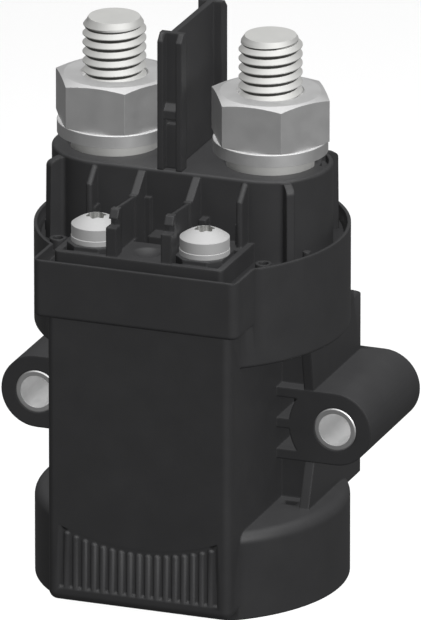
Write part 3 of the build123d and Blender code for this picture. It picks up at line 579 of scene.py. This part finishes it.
def threaded_stud(side_name):
    """The mesh of one stud, in metres in the frame."""
    low_corner, high_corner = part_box(f"stud_{side_name}")
    centre = (low_corner[0] + high_corner[0]) / 2 / mm
    top = high_corner[2] / mm - stud_top_gap
    collar_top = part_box(f"nut_{side_name}")[0][2] / mm - nut_drop - washer_thickness
    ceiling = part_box("cap")[1][2] / mm - roof_thickness
    shank = stud_radius - thread_depth
    turned_rows = [
        (pad_radius, low_corner[2] / mm),
        (pad_radius, ceiling - head_height),
        (head_radius, ceiling - head_height),
        (head_radius, ceiling),
        (collar_radius, ceiling),
        (collar_radius, collar_top),
        (shank, collar_top),
    ]
    lead = first_crest[side_name]
    thread_rows = rows_per_turn * (int((top - collar_top) / thread_pitch) + spare_turns)
    shape = bmesh.new()
    rings = [hoop(shape, centre, [point] * stud_columns) for point in turned_rows]
    for row in range(thread_rows):
        points = [
            thread_point(row, column, collar_top, top, lead)
            for column in range(stud_columns)
        ]
        rings.append(hoop(shape, centre, points))
    plain = len(turned_rows)
    for number in range(len(rings) - 1):
        for column in range(stud_columns):
            after = (column + 1) % stud_columns
            shift = rows_per_turn if after == 0 and number >= plain else 0
            if number + 1 + shift < len(rings):
                lower = rings[number]
                upper = rings[number + 1]
                lower_after = rings[number + shift]
                upper_after = rings[number + 1 + shift]
                corners = (lower[column], lower_after[after], upper_after[after], upper[column])
                shape.faces.new(corners)
    shape.faces.new(reversed(rings[0]))
    shape.faces.new(hoop(shape, centre, [(stud_end_radius, top)] * stud_columns))
    return finished_mesh(shape, f"threaded_stud_{side_name}", stud_sharp_degrees)


def paint_shade_below(material, colour):
    """Paints shade on a metal's faces that look down, in place of the shadow the lamps don't cast."""
    tree = material.node_tree
    body = tree.nodes["Principled BSDF"]
    unshaded = body.inputs["Base Color"].links[0].from_socket
    facing = add_node(tree, "ShaderNodeTexCoord").outputs["Normal"]
    upward = add_node(tree, "ShaderNodeSeparateXYZ", {"Vector": facing}).outputs["Z"]
    underside_shade = add_node(
        tree, "ShaderNodeMapRange", {"Value": upward, "From Min": -0.25, "From Max": -0.6}
    )
    shade = add_node(
        tree, "ShaderNodeMix", {"Factor": underside_shade.outputs[0], 6: unshaded, 7: colour}, data_type="RGBA"
    )
    tree.links.new(shade.outputs[2], body.inputs["Base Color"])


tin = plated_metal(
    "matt_tin_plating", tone("D8D8D6"), roughness=0.75, grain_mm=0.15, depth_mm=0.012, edge_mm=0.06
)
# Painted shade: the thread's flanks that look down are darkened towards this grey.
paint_shade_below(tin, tone("4A4A48"))
for side_name in ("left", "right"):
    stud_mesh = threaded_stud(side_name)
    stud_mesh.materials.append(tin)
    placed(f"threaded_stud_{side_name}", stud_mesh, "relay", "stud_plating", f"stud_{side_name}")


# Nuts and washers of the studs
# M10 hexagon nuts and plain washers in steel with a satin zinc plating. The nuts were formed cold and
# coned at both ends, so each flat ends in shallow arcs. The washers were punched from sheet and keep a
# keen edge, which shows as a thin light line.
nut_sides = 6
nut_flats = 17.0
nut_columns = 96
cone_slope = 0.29
top_cone_radius = 7.9
bottom_cone_radius = 8.4
nut_mouth_radius = 5.3
nut_bore_radius = 4.4
nut_mouth_depth = 1.2
nut_sharp_degrees = 12
washer_edge = 0.08
washer_sharp_degrees = 30


def closed_round(name, centre, rows, sharp_degrees):
    """The mesh of a ring-shaped piece from its rows of points, the last joined to the first."""
    shape = bmesh.new()
    rings = [hoop(shape, centre, points) for points in rows]
    for number, near in enumerate(rings):
        far = rings[(number + 1) % len(rings)]
        for column in range(len(near)):
            shape.faces.new((near[column - 1], near[column], far[column], far[column - 1]))
    return finished_mesh(shape, name, sharp_degrees)


def nut_mesh(name, centre, bottom, top):
    """A hexagon nut with coned ends, its corners towards +X and -X."""
    faces = []
    for column in range(nut_columns):
        turn_in_flat = (column * nut_sides / nut_columns) % 1 - 0.5
        faces.append(nut_flats / 2 / cos(turn_in_flat * tau / nut_sides))
    cone_low = [bottom + max(0, reach - bottom_cone_radius) * cone_slope for reach in faces]
    cone_high = [top - (reach - top_cone_radius) * cone_slope for reach in faces]
    rows = [
        [(nut_bore_radius, bottom)] * nut_columns,
        [(bottom_cone_radius, bottom)] * nut_columns,
        list(zip(faces, cone_low)),
        list(zip(faces, cone_high)),
        [(top_cone_radius, top)] * nut_columns,
        [(nut_mouth_radius, top)] * nut_columns,
        [(nut_mouth_radius, top - nut_mouth_depth)] * nut_columns,
        [(nut_bore_radius, top - nut_mouth_depth)] * nut_columns,
    ]
    return closed_round(name, centre, rows, nut_sharp_degrees)


def washer_mesh(name, centre, bottom, outer):
    """A plain washer, 2 mm thick, with its upper edge just broken."""
    top = bottom + washer_thickness
    turned = (
        (nut_mouth_radius, bottom),
        (outer, bottom),
        (outer, top - washer_edge),
        (outer - washer_edge, top),
        (nut_mouth_radius, top),
    )
    rows = [[point] * nut_columns for point in turned]
    return closed_round(name, centre, rows, washer_sharp_degrees)


nut_zinc = plated_metal(
    "nut_zinc_plating", tone("DADADA"), roughness=0.6, grain_mm=0.12, depth_mm=0.01, edge_mm=0.1
)
washer_zinc = plated_metal(
    "washer_zinc_plating", tone("DADADA"), roughness=0.6, grain_mm=0.12, depth_mm=0.01, edge_mm=0.05
)
for side_name in ("left", "right"):
    nut_low, nut_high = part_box(f"nut_{side_name}")
    washer_low, washer_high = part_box(f"stud_washer_{side_name}")
    centre = (nut_low[0] + nut_high[0]) / 2 / mm
    bottom = nut_low[2] / mm - nut_drop
    name = f"formed_nut_{side_name}"
    formed = nut_mesh(name, centre, bottom, bottom + nut_height)
    formed.materials.append(nut_zinc)
    placed(name, formed, "relay", "zinc_steel", f"nut_{side_name}")
    outer = (washer_high[0] - washer_low[0]) / 2 / mm
    name = f"punched_washer_{side_name}"
    punched = washer_mesh(name, centre, bottom - washer_thickness, outer)
    punched.materials.append(washer_zinc)
    placed(name, punched, "relay", "zinc_steel", f"stud_washer_{side_name}")


# Fixed and moving contacts
# Round tips in a silver alloy, brazed onto the studs and onto the bridge. The alloy is white and matt
# from brazing. The bridge is bare copper, punched from strip, with a warm red sheen.
silver = plated_metal(
    "silver_alloy", tone("D8D5CC"), roughness=0.5, grain_mm=0.1, depth_mm=0.008
)
for side_name in ("left", "right"):
    finish_node(f"fixed_contact_{side_name}", silver)
    finish_node(f"moving_contact_{side_name}", silver)
copper = plated_metal(
    "bare_copper", tone("C67A52"), roughness=0.42, grain_mm=0.2, depth_mm=0.006
)
finish_node("contact_bridge", copper)


# Coil terminals
# M4 pan-head screws with a star recess and plain washers; they clamp a cable eye onto the brass inserts,
# which were pressed into the cap's seats. The zinc plating is matt on the heads, the recesses get painted
# shade, a darker grey in place of the shade inside them, and the turned brass is a smooth yellow.
screw_head_radius = 3.9
screw_head_side = 1.74
screw_head_crown = 1.5
screw_shank_radius = 1.95
crown_rows = 8
coil_washer_radius = 3.95
coil_washer_thickness = 0.9
coil_washer_hole = 2.2
coil_washer_edge = 0.1
recess_radius = 1.45
recess_lobe = 0.17
recess_lobes = 6
recess_depth = 2.2
recess_taper = 0.92
screw_columns = 96
screw_sharp_degrees = 18


def crown_height(radius):
    """Height of the head's crown above its rim at a radius, in mm."""
    return screw_head_crown * (1 - (radius / screw_head_radius) ** 2)


def recess_point(column):
    """Radius of the star recess in one column, in mm."""
    return recess_radius + recess_lobe * cos(tau * (recess_lobes * column / screw_columns + 0.5))


def screw_mesh(name, centre_x, centre_y, bottom, seat):
    """A pan-head screw from its shank's tip up, its star recess in a second material of painted shade."""
    rim = seat + screw_head_side
    turned = (
        (screw_shank_radius, bottom),
        (screw_shank_radius, seat),
        (screw_head_radius, seat),
        (screw_head_radius, rim),
    )
    rows = [[point] * screw_columns for point in turned]
    lobes = [recess_point(column) for column in range(screw_columns)]
    for row in range(1, crown_rows):
        share = row / crown_rows
        radii = [screw_head_radius + (lobe - screw_head_radius) * share for lobe in lobes]
        rows.append([(radius, rim + crown_height(radius)) for radius in radii])
    rows.append([(lobe, rim + crown_height(lobe)) for lobe in lobes])
    floor_height = rim + screw_head_crown - recess_depth
    rows.append([(lobe * recess_taper, floor_height) for lobe in lobes])
    shape = bmesh.new()
    rings = [hoop(shape, 0, points) for points in rows]
    for near, far in zip(rings, rings[1:]):
        for column in range(screw_columns):
            face = shape.faces.new((near[column - 1], near[column], far[column], far[column - 1]))
            face.material_index = int(far is rings[-1])
    shape.faces.new(rings[0])
    shape.faces.new(rings[-1]).material_index = 1
    bmesh.ops.translate(shape, verts=shape.verts, vec=(centre_x, centre_y, 0))
    return finished_mesh(shape, name, screw_sharp_degrees)


screw_zinc = plated_metal(
    "screw_zinc_plating", tone("D2D2D2"), roughness=0.85, grain_mm=0.1, depth_mm=0.008, edge_mm=0.12
)
# Painted shade: the recess is a darker grey than the head, in place of the shade inside it.
recess_painted_shade = plated_metal(
    "recess_painted_shade", tone("B4B4B2"), roughness=0.6, grain_mm=0.1, depth_mm=0.008, edge_mm=0.04
)
for side_name in ("left", "right"):
    screw_low, screw_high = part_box(f"coil_screw_{side_name}")
    washer_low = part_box(f"coil_washer_{side_name}")[0][2] / mm
    centre_x = (screw_low[0] + screw_high[0]) / 2
    centre_y = (screw_low[1] + screw_high[1]) / 2
    seat = washer_low + coil_washer_thickness
    name = f"pan_head_screw_{side_name}"
    pan_head = screw_mesh(name, centre_x, centre_y, screw_low[2] / mm, seat)
    pan_head.materials.append(screw_zinc)
    pan_head.materials.append(recess_painted_shade)
    placed(name, pan_head, "relay", "screw_zinc", f"coil_screw_{side_name}")
    turned = (
        (coil_washer_hole, washer_low),
        (coil_washer_radius, washer_low),
        (coil_washer_radius, seat - coil_washer_edge),
        (coil_washer_radius - coil_washer_edge, seat),
        (coil_washer_hole, seat),
    )
    rows = [[point] * screw_columns for point in turned]
    name = f"flat_washer_{side_name}"
    flat_ring = closed_round(name, 0, rows, washer_sharp_degrees)
    flat_ring.transform(Matrix.Translation((centre_x, centre_y, 0)))
    flat_ring.materials.append(screw_zinc)
    placed(name, flat_ring, "relay", "screw_zinc", f"coil_washer_{side_name}")
brass = plated_metal(
    "turned_brass", tone("C9A45C"), roughness=0.4, grain_mm=0.1, depth_mm=0.006
)
finish_node("coil_insert_left", brass)
finish_node("coil_insert_right", brass)


# Coil leads
# Strips of tinned copper, bent twice, that lead from the winding through the insulating plate up to the
# inserts. Dip tinning leaves them grey-white and slightly uneven.
tinned = plated_metal(
    "dip_tinned_copper", tone("BDBBB6"), roughness=0.5, grain_mm=0.6, depth_mm=0.02
)
finish_node("coil_lead_left", tinned)
finish_node("coil_lead_right", tinned)


# Magnet frame
# A steel strip bent into a U, closed on top by a plate, both with a satin zinc plating. The fixed core is
# riveted into the plate, and the plunger below it is the same soft iron, turned and nickel plated, which is
# smoother and a little warmer. The shaft is drawn steel with a bright skin.
zinc = plated_metal(
    "clear_zinc_plating", tone("DADADA"), roughness=0.6, grain_mm=0.12, depth_mm=0.01
)
finish_node("yoke_frame", zinc)
finish_node("yoke_plate", zinc)
soft_iron = plated_metal(
    "nickel_plated_iron", tone("A9A59C"), roughness=0.38, grain_mm=0.1, depth_mm=0.005
)
finish_node("fixed_core", soft_iron)
finish_node("plunger", soft_iron)
drawn_steel = plated_metal(
    "drawn_stainless_steel", tone("B9B8B5"), roughness=0.3, grain_mm=0.08, depth_mm=0.004, edge_mm=0.1
)
finish_node("shaft", drawn_steel)


# Bobbin and carrier
# The bobbin is a moulding in natural glass-filled polyamide, cream and semi-matt. The carrier, a sleeve
# with a flange that insulates the bridge from the shaft, is moulded in an off-white polyester.
bobbin_natural = moulded_plastic(
    "natural_polyamide", tone("CFC4A8"), roughness=0.45, grain_mm=0.3, depth_mm=0.02
)
finish_node("bobbin", bobbin_natural)
carrier_white = moulded_plastic(
    "white_polyester", tone("DAD8D0"), roughness=0.4, grain_mm=0.3, depth_mm=0.015
)
finish_node("carrier", carrier_white)


# Stop pad
# A disc of black nitrile rubber that the plunger rests on when the coil is off. It was punched from
# sheet, and its skin is matt with a fine cloth mark.
rubber = moulded_plastic(
    "nitrile_rubber", tone("26241F"), roughness=0.75, grain_mm=0.25, depth_mm=0.03
)
finish_node("stop_pad", rubber)


# Winding
# About two thousand turns of fine enamelled copper wire in even layers. Only the outermost layer is drawn
# turn beside turn, and with a coarser wire. The enamel is clear amber over the copper, so the wire is
# coppery with a sharp gloss.
wire_sharp_degrees = 50


def wire_tree(material):
    """A geometry tree that coils a round wire about the Z axis, with its sizes as named inputs."""
    tree = bpy.data.node_groups.new("coiled_wire", "GeometryNodeTree")
    inputs = {}
    for label, kind in (
        ("Coil radius", "NodeSocketFloat"),
        ("Wire radius", "NodeSocketFloat"),
        ("Turns", "NodeSocketFloat"),
        ("Rise", "NodeSocketFloat"),
        ("Bottom", "NodeSocketFloat"),
        ("Points per turn", "NodeSocketInt"),
        ("Wire sides", "NodeSocketInt"),
    ):
        socket = tree.interface.new_socket(label, in_out="INPUT", socket_type=kind)
        inputs[label] = socket.identifier
    tree.interface.new_socket("Geometry", in_out="OUTPUT", socket_type="NodeSocketGeometry")
    given = add_node(tree, "NodeGroupInput").outputs
    spiral = add_node(
        tree,
        "GeometryNodeCurveSpiral",
        {
            "Resolution": given["Points per turn"],
            "Rotations": given["Turns"],
            "Start Radius": given["Coil radius"],
            "End Radius": given["Coil radius"],
            "Height": given["Rise"],
            "Reverse": True,
        },
    )
    section = add_node(
        tree,
        "GeometryNodeCurvePrimitiveCircle",
        {"Resolution": given["Wire sides"], "Radius": given["Wire radius"]},
    )
    wire = add_node(
        tree,
        "GeometryNodeCurveToMesh",
        {
            "Curve": spiral.outputs["Curve"],
            "Profile Curve": section.outputs["Curve"],
            "Fill Caps": True,
        },
    )
    lift = add_node(tree, "ShaderNodeCombineXYZ", {"Z": given["Bottom"]})
    lifted = add_node(
        tree,
        "GeometryNodeTransform",
        {"Geometry": wire.outputs["Mesh"], "Translation": lift.outputs[0]},
    )
    real = add_node(tree, "GeometryNodeRealizeInstances", {"Geometry": lifted.outputs[0]})
    finished = add_node(
        tree, "GeometryNodeSetMaterial", {"Geometry": real.outputs[0], "Material": material}
    )
    add_node(tree, "NodeGroupOutput", {"Geometry": finished.outputs[0]})
    return tree, inputs


def coiled_wire(name, material, sizes):
    """The mesh of a coiled wire, from sizes by the names of the tree's inputs."""
    tree, inputs = wire_tree(material)
    holder = new_object(name, bpy.data.meshes.new(name))
    modifier = holder.modifiers.new("coil", "NODES")
    modifier.node_group = tree
    for label, value in sizes.items():
        modifier[inputs[label]] = value
    graph = bpy.context.evaluated_depsgraph_get()
    mesh = bpy.data.meshes.new_from_object(holder.evaluated_get(graph))
    bpy.data.objects.remove(holder)
    return shaded(mesh, wire_sharp_degrees)


enamel = plated_metal(
    "enamelled_copper", tone("B4683A"), roughness=0.25, grain_mm=0.4, depth_mm=0.004, edge_mm=0.05
)
strand = 0.25 * mm
bobbin_tube = 6.2 * mm
winding_columns = 64
winding_low, winding_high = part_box("coil_winding")
winding_rise = winding_high[2] - winding_low[2] - 2 * strand
layer_radius = winding_high[0] - strand
winding_mesh = coiled_wire(
    "outer_layer",
    enamel,
    {
        "Coil radius": layer_radius,
        "Wire radius": strand,
        "Turns": float(int(winding_rise / (2 * strand))),
        "Rise": winding_rise,
        "Bottom": winding_low[2] + strand,
        "Points per turn": winding_columns,
        "Wire sides": 6,
    },
)

# The layers under the outer one don't show, so they are drawn as one solid ring.
inner_layers = [
    (bobbin_tube / mm, winding_low[2] / mm),
    (layer_radius / mm, winding_low[2] / mm),
    (layer_radius / mm, winding_high[2] / mm),
    (bobbin_tube / mm, winding_high[2] / mm),
]
shape = bmesh.new()
shape.from_mesh(winding_mesh)
rings = [hoop(shape, 0, [point] * winding_columns) for point in inner_layers]
for number, near in enumerate(rings):
    far = rings[(number + 1) % len(rings)]
    for column in range(winding_columns):
        shape.faces.new((near[column - 1], near[column], far[column], far[column - 1]))
shape.to_mesh(winding_mesh)
shape.free()
shaded(winding_mesh, wire_sharp_degrees)
placed("wound_wire", winding_mesh, "relay", "winding_copper", "coil_winding")


# Springs
# Two compression springs in stainless spring wire: the return spring in the bores of the core and the
# plunger, and the contact spring under the bridge. Each is squeezed between the parts at its two ends;
# here it is drawn at one fixed length, on no body.
# Drawn wire is bright, with a fine grain.
spring_steel = plated_metal(
    "spring_wire", tone("B0AFAC"), roughness=0.3, grain_mm=0.08, depth_mm=0.003, edge_mm=0.05
)
for name, lower_body, upper_body, wire_mm, turns in (
    ("return_spring", "plunger_assembly", "relay", 0.25, 6),
    ("contact_spring", "plunger_assembly", "bridge", 0.3, 3),
):
    spring_low, spring_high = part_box(name)
    wire = wire_mm * mm
    spring_mesh = coiled_wire(
        name + "_wire",
        spring_steel,
        {
            "Coil radius": (spring_high[0] - spring_low[0]) / 2 - wire,
            "Wire radius": wire,
            "Turns": float(turns),
            "Rise": spring_high[2] - spring_low[2] - 2 * wire,
            "Bottom": spring_low[2] + wire,
            "Points per turn": 48,
            "Wire sides": 12,
        },
    )
    spring = new_object(name + "_wire", spring_mesh)
    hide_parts(name)
    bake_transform(spring)


# Retaining washer and clip
# A steel washer and a spring clip that snaps into the shaft's groove and holds the bridge against its
# spring. The clip is stamped from strip and keeps a dark oil-quenched surface.
finish_node("retaining_washer", drawn_steel)
quenched = plated_metal(
    "quenched_strip", tone("6E6A66"), roughness=0.45, grain_mm=0.2, depth_mm=0.006, edge_mm=0.08
)
finish_node("retaining_clip", quenched)
